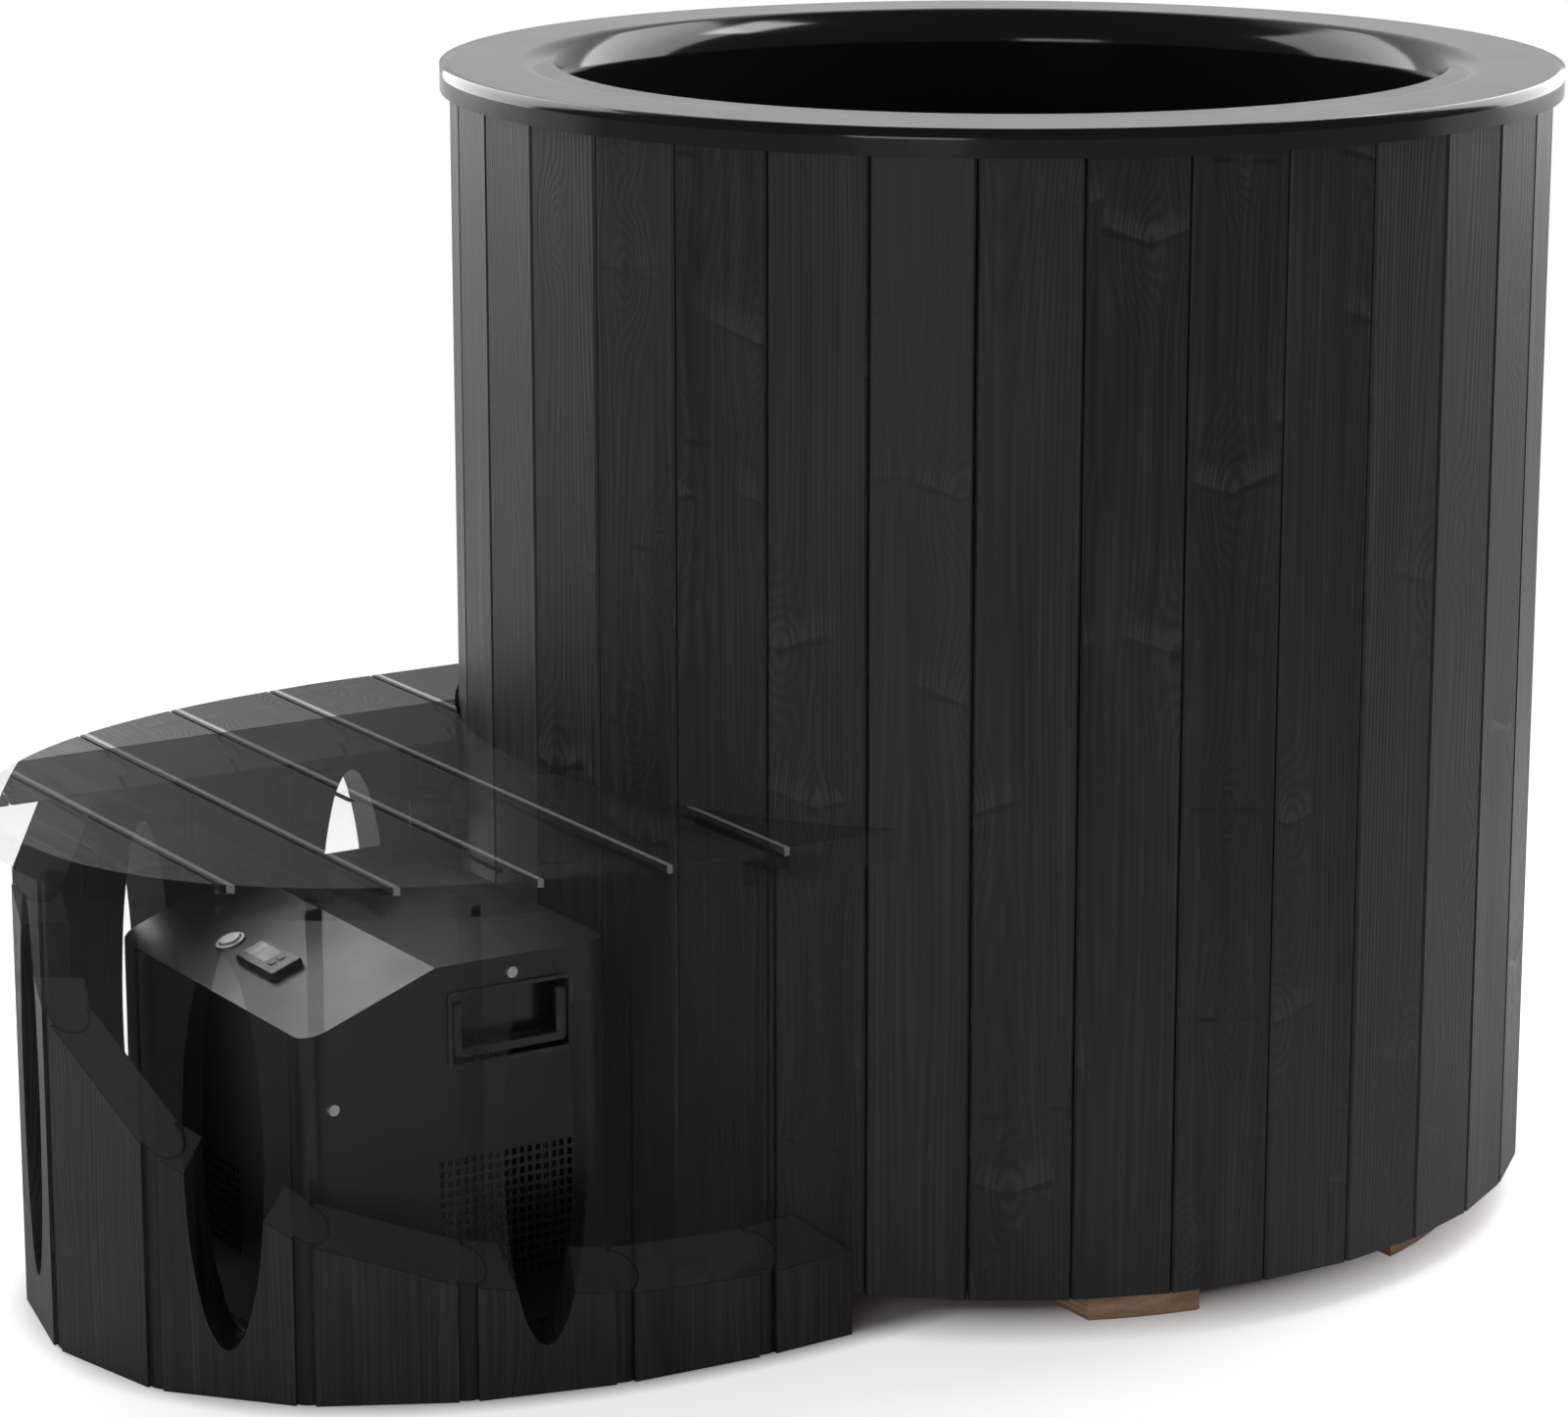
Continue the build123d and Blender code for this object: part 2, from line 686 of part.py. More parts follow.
for label, side in (("left", -1), ("right", 1)):
    seat = on_side(side, -handle_middle, handle_height)
    opening = (handle_size[0] - 2 * handle_rim, handle_size[1] - 2 * handle_rim)
    bail_plane = on_side(side, -handle_middle, 0.0, bail_inset)
    pivot_height = bail_top - pivot_drop
    pivot_place = side * (casing_half_width - bail_inset + bail_thickness / 2)
    pivot_plane = Plane(
        origin=at_tub(pivot_place, -handle_middle, pivot_height),
        x_dir=(1, 0, 0),
        z_dir=(0, 1, 0),
    )
    with BuildPart() as cup:
        with BuildSketch(seat):
            RectangleRounded(handle_size[0], handle_size[1], handle_rim)
        extrude(amount=handle_lip)
        with BuildSketch(seat):
            Rectangle(opening[0] + 2 * handle_cup_wall, opening[1] + 2 * handle_cup_wall)
        extrude(amount=-handle_cup_depth)
        with BuildSketch(seat.offset(handle_lip)):
            Rectangle(*opening)
        extrude(amount=-(handle_lip + handle_cup_depth - handle_cup_wall), mode=Mode.SUBTRACT)
        with BuildSketch(pivot_plane.offset(-opening[0])):
            Circle(pivot_radius + pivot_fit)
        extrude(amount=2 * opening[0], mode=Mode.SUBTRACT)
    save(cup.part, f"handle_cup_{label}")
    with BuildPart() as bail:
        with BuildSketch(bail_plane):
            with Locations((0, (bail_top + bail_foot) / 2)):
                RectangleRounded(bail_width, bail_top - bail_foot, bail_corner)
            with Locations((0, (bail_top + bail_foot) / 2 + bail_arm)):
                Rectangle(bail_width - 2 * bail_arm, bail_top - bail_foot, mode=Mode.SUBTRACT)
        extrude(amount=bail_thickness)
        chamfer(bail.edges().group_by(Axis.X)[-1 if side > 0 else 0], length=bail_edge)
        with BuildSketch(pivot_plane.offset(-opening[0] / 2 - pivot_reach)):
            Circle(pivot_radius)
        extrude(amount=pivot_reach + bail_arm / 2)
        with BuildSketch(pivot_plane.offset(opening[0] / 2 + pivot_reach)):
            Circle(pivot_radius)
        extrude(amount=-pivot_reach - bail_arm / 2)
    save(bail.part, f"handle_bail_{label}")

# Control panel: a push button in its ring, and a display housing with window and two keys

with BuildPart() as button_ring:
    with BuildSketch(panel):
        with Locations(button_place):
            Circle(button_ring_radius)
            Circle(button_radius + button_fit, mode=Mode.SUBTRACT)
    extrude(amount=button_ring_height)
    chamfer(button_ring.faces().sort_by(Axis(panel.origin, panel.z_dir))[-1].edges(), length=0.8)
save(button_ring.part, "button_ring")

with BuildPart() as button:
    with BuildSketch(panel.offset(-button_depth)):
        with Locations(button_place):
            Circle(button_radius)
    extrude(amount=button_depth + button_height)
    chamfer(button.faces().sort_by(Axis(panel.origin, panel.z_dir))[-1].edges(), length=button_edge)
save(button.part, "power_button")

with BuildPart() as display_housing:
    with BuildSketch(panel):
        with Locations(display_place):
            RectangleRounded(display_size[0], display_size[1], display_corner)
    extrude(amount=display_height)
    chamfer(display_housing.faces().sort_by(Axis(panel.origin, panel.z_dir))[-1].edges(), length=1.2)
    with BuildSketch(panel.offset(display_height)):
        with Locations((display_place[0] + window_place[0], display_place[1] + window_place[1])):
            Rectangle(*window_size)
    extrude(amount=-window_thickness, mode=Mode.SUBTRACT)
    with BuildSketch(panel.offset(display_height)):
        for place in key_places:
            with Locations((display_place[0] + place[0], display_place[1] + place[1])):
                Rectangle(key_size[0] + 2 * key_fit, key_size[1] + 2 * key_fit)
    extrude(amount=-display_height + display_wall, mode=Mode.SUBTRACT)
save(display_housing.part, "display_housing")

with BuildPart() as display_window:
    with BuildSketch(panel.offset(display_height - window_thickness)):
        with Locations((display_place[0] + window_place[0], display_place[1] + window_place[1])):
            Rectangle(window_size[0] - 2 * seat_gap, window_size[1] - 2 * seat_gap)
    extrude(amount=window_thickness)
save(display_window.part, "display_window")

for number, place in enumerate(key_places, 1):
    with BuildPart() as key:
        with BuildSketch(panel.offset(display_wall + key_room)):
            with Locations((display_place[0] + place[0], display_place[1] + place[1])):
                Rectangle(*key_size)
        extrude(amount=display_height - display_wall - key_room + key_rise)
        chamfer(key.faces().sort_by(Axis(panel.origin, panel.z_dir))[-1].edges(), length=0.5)
    save(key.part, f"display_key_{number}")

with BuildPart() as screws:
    for screw_plane in screw_planes:
        with BuildSketch(screw_plane):
            Circle(screw_head_radius)
        extrude(amount=screw_head_height, taper=20)
        with BuildSketch(screw_plane):
            Circle(screw_shank_radius)
        extrude(amount=-screw_length)
save(screws.part, "casing_screws")

# Hose spigots and cable gland on the left side of the chiller

with BuildPart() as spigots:
    for spigot_plane in spigot_planes:
        with BuildSketch(spigot_plane):
            Circle(spigot_flange_radius)
        extrude(amount=spigot_flange)
        with BuildSketch(spigot_plane.offset(-spigot_tail)):
            Circle(spigot_radius)
        extrude(amount=spigot_tail + spigot_flange + spigot_length)
        with BuildSketch(spigot_plane.offset(-spigot_tail)):
            Circle(spigot_radius - spigot_wall)
        extrude(amount=spigot_tail + spigot_flange + spigot_length, mode=Mode.SUBTRACT)
save(spigots.part, "hose_spigots")

with BuildPart() as gland:
    with BuildSketch(gland_plane):
        RegularPolygon(gland_nut_radius, 6)
    extrude(amount=gland_length / 2)
    with BuildSketch(gland_plane.offset(-gland_length / 2)):
        Circle(gland_radius)
    extrude(amount=3 * gland_length / 2)
    with BuildSketch(gland_plane.offset(-gland_length / 2)):
        Circle(cable_radius)
    extrude(amount=3 * gland_length / 2, mode=Mode.SUBTRACT)
save(gland.part, "cable_gland")

# Cooling parts inside the casing

condenser_face = casing_half_width - casing_sheet - grille_sheet - condenser_gap
condenser_back = condenser_face - condenser_size[0]
condenser_foot = side_grille_height - condenser_size[2] / 2
with BuildPart() as condenser:
    fin_step = (condenser_size[1] - header_thickness) / (condenser_fins - 1)
    for index in range(condenser_fins):
        thickness = header_thickness if index in (0, condenser_fins - 1) else fin_thickness
        place = -side_grille_place - (condenser_size[1] - header_thickness) / 2 + index * fin_step
        with BuildSketch(tub.offset(condenser_foot)):
            with Locations(((condenser_face + condenser_back) / 2, place)):
                Rectangle(condenser_size[0], thickness)
        extrude(amount=condenser_size[2])
    for height in (condenser_foot, condenser_foot + condenser_size[2] - header_depth):
        with BuildSketch(tub.offset(height)):
            with Locations(((condenser_face + condenser_back) / 2, -side_grille_place)):
                Rectangle(condenser_size[0], condenser_size[1])
        extrude(amount=header_depth)
    with BuildSketch(tub.offset(pan_top)):
        with Locations(((condenser_face + condenser_back) / 2, -side_grille_place)):
            Rectangle(condenser_size[0] - 4, condenser_size[1] - 20)
    extrude(amount=condenser_foot - pan_top)
save(condenser.part, "condenser")

shroud_face = condenser_back - seat_gap
fan_face = shroud_face - shroud_thickness - fan_gap
fan_plane = Plane(
    origin=at_tub(fan_face - fan_depth, -side_grille_place, side_grille_height),
    x_dir=(0, 1, 0),
    z_dir=(1, 0, 0),
)
with BuildPart() as shroud:
    with BuildSketch(Plane(origin=at_tub(shroud_face, -side_grille_place, side_grille_height),
                           x_dir=(0, 1, 0), z_dir=(1, 0, 0))):
        Rectangle(condenser_size[1], condenser_size[2])
        Circle(fan_radius - 2.0, mode=Mode.SUBTRACT)
    extrude(amount=-shroud_thickness)
    with BuildSketch(tub.offset(pan_top)):
        with Locations((shroud_face - shroud_thickness / 2, -side_grille_place)):
            Rectangle(shroud_thickness, condenser_size[1])
    extrude(amount=condenser_foot - pan_top)
save(shroud.part, "fan_shroud")

with BuildPart() as rotor:
    with BuildSketch(fan_plane):
        Circle(fan_hub_radius)
    extrude(amount=fan_depth)
    with Locations(fan_plane.offset(fan_depth / 2)):
        with PolarLocations((fan_hub_radius + fan_radius) / 2 - 2, fan_blades):
            Box(fan_radius - fan_hub_radius, blade_chord, fan_blade_thickness, rotation=(blade_pitch, 0, 0))
    with BuildSketch(fan_plane):
        Circle(shaft_radius + shaft_fit)
    extrude(amount=fan_depth, mode=Mode.SUBTRACT)
save(rotor.part, "fan_rotor")

with BuildPart() as motor:
    with BuildSketch(fan_plane.offset(-fan_gap)):
        Circle(motor_radius)
    extrude(amount=-motor_length)
    chamfer(motor.edges(), length=2.0)
    with BuildSketch(fan_plane.offset(-fan_gap - 1.0)):
        Circle(shaft_radius)
    extrude(amount=fan_depth + fan_gap + 1.0)
    with BuildSketch(tub.offset(pan_top)):
        with Locations((fan_face - fan_depth - fan_gap - motor_length / 2, -side_grille_place)):
            Rectangle(motor_length - 8.0, motor_radius)
    extrude(amount=side_grille_height - pan_top)
save(motor.part, "fan_motor")

with BuildPart() as compressor:
    with BuildSketch(Plane(origin=at_tub(*compressor_place), x_dir=(1, 0, 0), z_dir=(0, -1, 0))):
        with BuildLine():
            Polyline(
                (0, pan_top),
                (compressor_radius + 8, pan_top),
                (compressor_radius + 8, pan_top + 4),
                (compressor_radius, pan_top + 4),
                (compressor_radius, compressor_height - compressor_dome),
                (compressor_radius * 0.72, compressor_height - compressor_dome * 0.25),
                (0, compressor_height),
                close=True,
            )
        make_face()
    revolve(axis=Axis(at_tub(*compressor_place), (0, 0, 1)))
save(compressor.part, "compressor")

with BuildPart() as vessel:
    with BuildSketch(tub.offset(pan_top)):
        with Locations(vessel_place):
            Circle(vessel_radius)
    extrude(amount=vessel_height)
    chamfer(vessel.faces().sort_by(Axis.Z)[-1].edges(), length=8.0)
save(vessel.part, "evaporator")

with BuildPart() as pump:
    with BuildSketch(Plane(origin=at_tub(pump_place[0], pump_place[1] - pump_length / 2, pump_height),
                           x_dir=(1, 0, 0), z_dir=(0, 1, 0))):
        Circle(pump_radius)
    extrude(amount=pump_length)
    chamfer(pump.edges(), length=3.0)
    with BuildSketch(tub.offset(pan_top)):
        with Locations(pump_place):
            Rectangle(pump_radius, pump_length - 16.0)
    extrude(amount=pump_height - pan_top)
save(pump.part, "pump")

with BuildPart() as control_box:
    with BuildSketch(tub.offset(control_box_place[1])):
        with Locations((control_box_place[0], -casing_front + casing_sheet + control_box_size[1] / 2)):
            Rectangle(control_box_size[0], control_box_size[1])
    extrude(amount=control_box_size[2])
    chamfer(control_box.edges().filter_by(Axis.Z), length=2.0)
save(control_box.part, "control_box")
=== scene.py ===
import math

import bmesh
import bpy
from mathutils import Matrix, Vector


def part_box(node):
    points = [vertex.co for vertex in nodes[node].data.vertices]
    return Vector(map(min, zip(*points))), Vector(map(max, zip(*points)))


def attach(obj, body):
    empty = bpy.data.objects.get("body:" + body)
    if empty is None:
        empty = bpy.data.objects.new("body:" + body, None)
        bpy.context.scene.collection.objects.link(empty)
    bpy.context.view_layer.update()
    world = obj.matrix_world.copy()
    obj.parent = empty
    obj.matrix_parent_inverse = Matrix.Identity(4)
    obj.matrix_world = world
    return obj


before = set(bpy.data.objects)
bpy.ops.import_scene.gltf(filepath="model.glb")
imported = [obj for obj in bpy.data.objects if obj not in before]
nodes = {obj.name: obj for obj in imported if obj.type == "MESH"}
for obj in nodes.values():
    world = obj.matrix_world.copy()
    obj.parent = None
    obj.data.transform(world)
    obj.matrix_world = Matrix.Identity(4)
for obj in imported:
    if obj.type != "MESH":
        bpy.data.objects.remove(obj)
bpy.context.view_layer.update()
print("frame loaded:", len(nodes), "nodes")

# camera, fitted to the photograph (image taken as 1600 x 1446)
cameraFit = {
    "place": (3.8916, -2.4291, 1.6086),
    "lookAlong": (-0.8229, 0.5156, -0.2387),
    "lens": 116.6,
    "sensorWidth": 36.0,
    "clipEnd": 60.0,
}


def makeCamera():
    data = bpy.data.cameras.new("photoCamera")
    data.lens = cameraFit["lens"]
    data.sensor_fit = "HORIZONTAL"
    data.sensor_width = cameraFit["sensorWidth"]
    data.clip_end = cameraFit["clipEnd"]
    camera = bpy.data.objects.new("photoCamera", data)
    bpy.context.scene.collection.objects.link(camera)
    camera.location = cameraFit["place"]
    camera.rotation_euler = Vector(cameraFit["lookAlong"]).to_track_quat("-Z", "Y").to_euler()
    bpy.context.scene.camera = camera


makeCamera()
bpy.context.scene.view_settings.view_transform = "Standard"
print("camera set")

# shape of the tub and the cabinet, as far as the finishes need it, in metres
tubCentre = (0.0, 0.2455)
staves = {"count": 35, "phaseDegrees": -36.5}

# the cut through the cabinet that the photo shows: its height at X = 0, its slope along X, the haze above it
section = {"height": 0.304, "fall": -0.66, "haze": 0.335}


# small helpers for shader trees
def addNode(tree, kind, **values):
    node = tree.nodes.new(kind)
    for name, value in values.items():
        setattr(node, name, value)
    return node


def feed(tree, source, target):
    if isinstance(source, (int, float, tuple)):
        target.default_value = source
    else:
        tree.links.new(source, target)


def calc(tree, operation, first, second=None, third=None, clamp=False):
    node = addNode(tree, "ShaderNodeMath", operation=operation, use_clamp=clamp)
    for socket, value in zip(node.inputs, (first, second, third)):
        if value is not None:
            feed(tree, value, socket)
    return node.outputs[0]


def product(tree, total, *factors):
    for factor in factors:
        total = calc(tree, "MULTIPLY", total, factor)
    return total


# each value times its weight, on top of a total
def addWeighted(tree, total, *pairs):
    for value, weight in pairs:
        total = calc(tree, "MULTIPLY_ADD", value, weight, total)
    return total


def vectorCalc(tree, operation, first, second=(0.0, 0.0, 0.0), result="Vector"):
    node = addNode(tree, "ShaderNodeVectorMath", operation=operation)
    feed(tree, first, node.inputs[0])
    feed(tree, second, node.inputs[1])
    return node.outputs[result]


def dotProduct(tree, first, second):
    return vectorCalc(tree, "DOT_PRODUCT", first, second, "Value")


def joinAxes(tree, *parts):
    node = addNode(tree, "ShaderNodeCombineXYZ")
    for socket, value in zip(node.inputs, parts):
        feed(tree, value, socket)
    return node.outputs[0]


def axesOf(tree, vector):
    node = addNode(tree, "ShaderNodeSeparateXYZ")
    feed(tree, vector, node.inputs[0])
    return node.outputs


def ramp(tree, value, stops):
    node = addNode(tree, "ShaderNodeValToRGB")
    elements = node.color_ramp.elements
    while len(elements) < len(stops):
        elements.new(0.5)
    for element, (place, color) in zip(elements, stops):
        element.position = place
        element.color = (*color, 1.0) if isinstance(color, tuple) else (color, color, color, 1.0)
    feed(tree, value, node.inputs[0])
    return node.outputs[0]


def span(tree, value, low, high, newLow=0.0, newHigh=1.0):
    node = addNode(tree, "ShaderNodeMapRange")
    feed(tree, value, node.inputs["Value"])
    node.inputs["From Min"].default_value = low
    node.inputs["From Max"].default_value = high
    node.inputs["To Min"].default_value = newLow
    node.inputs["To Max"].default_value = newHigh
    return node.outputs[0]


def noise(tree, place, scale, detail=2.0, roughness=0.5, distortion=0.0):
    node = addNode(tree, "ShaderNodeTexNoise")
    feed(tree, place, node.inputs["Vector"])
    feed(tree, scale, node.inputs["Scale"])
    node.inputs["Detail"].default_value = detail
    node.inputs["Roughness"].default_value = roughness
    node.inputs["Distortion"].default_value = distortion
    return node.outputs[0]


# noise drawn out along an axis; a layer's noise is its scale, detail, roughness and distortion
def drawnNoise(tree, place, layer):
    return noise(tree, vectorCalc(tree, "MULTIPLY", place, layer["stretch"]), *layer["noise"])


def startGroup(name, ins, outs):
    group = bpy.data.node_groups.new(name, "ShaderNodeTree")
    for label, kind in ins:
        group.interface.new_socket(label, in_out="INPUT", socket_type=kind)
    for label, kind in outs:
        group.interface.new_socket(label, in_out="OUTPUT", socket_type=kind)
    entry = group.nodes.new("NodeGroupInput")
    leave = group.nodes.new("NodeGroupOutput")
    return group, entry.outputs, leave.inputs


def useGroup(tree, group, **values):
    node = addNode(tree, "ShaderNodeGroup", node_tree=group)
    for name, value in values.items():
        feed(tree, value, node.inputs[name])
    return node.outputs


# softwood grain, in metres: knots stand in some cells of a loose lattice on the board's face
knotShape = {
    "columns": 9.5,
    "rows": 5.2,
    "scatter": 0.9,
    "present": (0.5, 0.56),
    "size": (0.6, 1.3),
    "swellStretch": 0.22,
    "swellFall": -1700.0,
    "body": (0.0085, 0.0055),
    "core": (0.0036, 0.001),
    "feathered": (0.42, 0.46),
}


def findKnots(tree, flat):
    axes = axesOf(tree, flat)
    across = calc(tree, "MULTIPLY", axes[0], knotShape["columns"])
    lattice = joinAxes(tree, across, calc(tree, "MULTIPLY", axes[2], knotShape["rows"]), 0.0)
    cells = addNode(tree, "ShaderNodeTexVoronoi", voronoi_dimensions="2D")
    feed(tree, lattice, cells.inputs["Vector"])
    cells.inputs["Scale"].default_value = 1.0
    cells.inputs["Randomness"].default_value = knotShape["scatter"]
    offset = axesOf(tree, vectorCalc(tree, "SUBTRACT", lattice, cells.outputs["Position"]))
    side = calc(tree, "DIVIDE", offset[0], knotShape["columns"])
    along = calc(tree, "DIVIDE", offset[1], knotShape["rows"])
    lots = axesOf(tree, cells.outputs["Color"])
    present = span(tree, lots[0], *knotShape["present"])
    size = span(tree, lots[1], 0.0, 1.0, *knotShape["size"])
    sideShare = calc(tree, "DIVIDE", side, size)
    alongShare = calc(tree, "DIVIDE", along, size)
    sideSquare = product(tree, sideShare, sideShare)
    alongSquare = product(tree, alongShare, alongShare)
    gap = calc(tree, "SQRT", calc(tree, "ADD", sideSquare, alongSquare))
    wide = addWeighted(tree, sideSquare, (alongSquare, knotShape["swellStretch"]))
    fall = calc(tree, "EXPONENT", calc(tree, "MULTIPLY", wide, knotShape["swellFall"]))
    feathered = span(tree, lots[1], *knotShape["feathered"])
    return {
        "side": side,
        "along": along,
        "away": calc(tree, "ABSOLUTE", side),
        "turn": calc(tree, "SIGN", calc(tree, "SUBTRACT", lots[2], 0.5)),
        "swell": product(tree, fall, present),
        "body": product(tree, span(tree, gap, *knotShape["body"]), present, feathered),
        "core": product(tree, span(tree, gap, *knotShape["core"]), present, feathered),
        "feathered": product(tree, feathered, present),
        "dashed": product(tree, calc(tree, "SUBTRACT", 1.0, feathered), present),
    }


# a garland of light feathered fibres that dips to the knot, and a dark seam below it
garlandShape = {
    "dip": -0.36,
    "feather": {"low": (-0.0012, 0.0012), "high": (0.026, 0.001), "reach": (0.056, 0.04)},
    "seam": {"low": (-0.0055, -0.0015), "high": (0.0012, -0.0008), "reach": (0.05, 0.02)},
}


def garlandMark(tree, knot, part):
    edges = garlandShape[part]
    over = addWeighted(tree, knot["along"], (knot["away"], garlandShape["dip"]))
    inBand = product(tree, span(tree, over, *edges["low"]), span(tree, over, *edges["high"]))
    return product(tree, inBand, span(tree, knot["away"], *edges["reach"]), knot["feathered"])


# a dark wedge that runs from the knot to one edge of the board, or a pair of dark dashes in its stead
wedgeShape = {
    "slope": -0.3,
    "flare": 0.11,
    "tip": 0.0008,
    "edge": (0.0006, -0.0006),
    "inner": (0.004, 0.01),
    "outer": (0.05, 0.035),
}
dashShape = {"slope": 0.08, "edge": (0.0032, 0.0018), "inner": (0.007, 0.011), "outer": (0.034, 0.026)}


def darkMarks(tree, knot):
    outward = product(tree, knot["side"], knot["turn"])
    slant = addWeighted(tree, knot["along"], (outward, wedgeShape["slope"]))
    thick = calc(tree, "MULTIPLY_ADD", outward, wedgeShape["flare"], wedgeShape["tip"])
    beside = calc(tree, "SUBTRACT", calc(tree, "ABSOLUTE", slant), thick)
    inner = span(tree, outward, *wedgeShape["inner"])
    outer = span(tree, outward, *wedgeShape["outer"])
    wedge = product(tree, span(tree, beside, *wedgeShape["edge"]), inner, outer, knot["feathered"])
    tilted = calc(tree, "ABSOLUTE", addWeighted(tree, knot["along"], (knot["side"], dashShape["slope"])))
    inner = span(tree, knot["away"], *dashShape["inner"])
    outer = span(tree, knot["away"], *dashShape["outer"])
    dash = product(tree, span(tree, tilted, *dashShape["edge"]), inner, outer, knot["dashed"])
    return calc(tree, "ADD", wedge, dash)


grainLayers = {
    "sway": {"stretch": (1.6, 1.0, 1.3), "noise": (1.0, 1.0, 0.4)},
    "pithSide": {"stretch": (0.0, 1.0, 0.35), "noise": (1.0, 0.0, 0.4)},
    "tremble": {"stretch": (1.0, 1.0, 0.12), "noise": (38.0, 2.0, 0.5)},
    "fibres": {"stretch": (1.0, 1.0, 0.012), "noise": (520.0, 3.0, 0.65)},
    "threads": {"stretch": (1.0, 1.0, 0.016), "noise": (170.0, 2.0, 0.55)},
    "streaks": {"stretch": (1.0, 1.0, 0.045), "noise": (34.0, 3.0, 0.55, 0.2)},
    "blotch": {"stretch": (1.0, 1.0, 0.5), "noise": (9.0, 2.0, 0.5)},
}
grainPlace = {"seedSteps": (3.713, 1.931, 7.377), "depthShare": 0.2, "boardWidth": 0.1}
ringShape = {
    "step": 0.0042,
    "pithDepth": 0.023,
    "swayFrom": (0.3, 0.7),
    "sway": 0.015,
    "sideFrom": (0.35, 0.65),
    "side": 0.02,
    "knotBend": 0.75,
    "knotPush": 0.026,
    "tremble": 0.0032,
}


# the place across a board, as if all boards were equally wide
def wrapAcross(tree, flat, seed):
    wide = grainPlace["boardWidth"]
    away = calc(tree, "MULTIPLY_ADD", seed, -grainPlace["seedSteps"][0], axesOf(tree, flat)[0])
    wrapped = calc(tree, "FLOORED_MODULO", calc(tree, "ADD", away, wide / 2), wide)
    return calc(tree, "SUBTRACT", wrapped, wide / 2)


# year rings round a pith that lies a little below the face and sways along the board
def yearRings(tree, flat, seed, knot, bend):
    swayed = drawnNoise(tree, flat, grainLayers["sway"])
    sway = span(tree, swayed, *ringShape["swayFrom"], -ringShape["sway"], ringShape["sway"])
    shifted = drawnNoise(tree, flat, grainLayers["pithSide"])
    pithSide = span(tree, shifted, *ringShape["sideFrom"], -ringShape["side"], ringShape["side"])
    side = calc(tree, "SUBTRACT", wrapAcross(tree, flat, seed), calc(tree, "ADD", pithSide, bend))
    below = calc(tree, "ADD", sway, ringShape["pithDepth"])
    below = addWeighted(tree, below, (knot["swell"], ringShape["knotPush"]))
    reach = calc(tree, "SQRT", calc(tree, "MULTIPLY_ADD", side, side, product(tree, below, below)))
    trembled = drawnNoise(tree, flat, grainLayers["tremble"])
    reach = addWeighted(tree, reach, (trembled, ringShape["tremble"]))
    phase = calc(tree, "MULTIPLY", reach, 2 * math.pi / ringShape["step"])
    return span(tree, calc(tree, "SINE", phase), -1.0, 1.0)


grainTone = {
    "rings": 0.15,
    "fibres": 0.5,
    "threads": 0.68,
    "blotch": 0.3,
    "range": (0.5, 1.14),
    "heartFrom": (0.54, 0.68),
    "heart": -0.3,
    "swell": 0.12,
    "feather": (0.42, 0.08),
    "seam": -0.3,
    "body": -0.25,
    "core": -0.35,
    "wedge": -0.42,
}
grainRelief = {"rings": 0.35, "fibres": 0.6, "threads": 0.5, "wedge": -0.3}


# the board's length lies along Z of Place, and Facing is the surface's own normal there
def makeTimberGrain():
    group, ins, outs = startGroup(
        "timberGrain",
        [("Place", "NodeSocketVector"), ("Facing", "NodeSocketVector"), ("Seed", "NodeSocketFloat")],
        [("Tone", "NodeSocketFloat"), ("Height", "NodeSocketFloat")],
    )
    sideways = vectorCalc(group, "CROSS_PRODUCT", (0.0, 0.0, 1.0), ins["Facing"])
    depth = dotProduct(group, ins["Place"], ins["Facing"])
    across = dotProduct(group, ins["Place"], sideways)
    parts = (across, calc(group, "MULTIPLY", depth, grainPlace["depthShare"]), axesOf(group, ins["Place"])[2])
    steps = zip(parts, grainPlace["seedSteps"])
    flat = joinAxes(group, *[addWeighted(group, part, (ins["Seed"], step)) for part, step in steps])
    knot = findKnots(group, flat)
    bend = product(group, knot["side"], knot["swell"], ringShape["knotBend"])
    rings = yearRings(group, flat, ins["Seed"], knot, bend)
    axes = axesOf(group, flat)
    bent = joinAxes(group, calc(group, "SUBTRACT", axes[0], bend), axes[1], axes[2])
    fibres = drawnNoise(group, bent, grainLayers["fibres"])
    threads = drawnNoise(group, bent, grainLayers["threads"])
    blotch = drawnNoise(group, flat, grainLayers["blotch"])
    heart = span(group, drawnNoise(group, bent, grainLayers["streaks"]), *grainTone["heartFrom"])
    wedge = darkMarks(group, knot)

    mixed = addWeighted(
        group,
        product(group, fibres, grainTone["fibres"]),
        (rings, grainTone["rings"]),
        (threads, grainTone["threads"]),
        (blotch, grainTone["blotch"]),
    )
    tone = addWeighted(
        group,
        span(group, mixed, *grainTone["range"]),
        (heart, grainTone["heart"]),
        (product(group, knot["swell"], rings), grainTone["swell"]),
        (garlandMark(group, knot, "feather"),
         calc(group, "MULTIPLY_ADD", calc(group, "ADD", rings, threads), *grainTone["feather"])),
        (garlandMark(group, knot, "seam"), grainTone["seam"]),
        (knot["body"], grainTone["body"]),
        (knot["core"], grainTone["core"]),
    )
    feed(group, calc(group, "MULTIPLY_ADD", wedge, grainTone["wedge"], tone, clamp=True), outs["Tone"])
    relief = addWeighted(
        group,
        product(group, fibres, grainRelief["fibres"]),
        (rings, grainRelief["rings"]),
        (threads, grainRelief["threads"]),
        (wedge, grainRelief["wedge"]),
    )
    feed(group, relief, outs["Height"])
    return group


# fine speckle of a powder coat or a moulded skin, with soft handling marks
smudgeShape = {"stretch": (1.0, 1.4, 0.7), "noise": (9.0, 4.0, 0.6, 0.4), "range": (0.3, 0.75)}


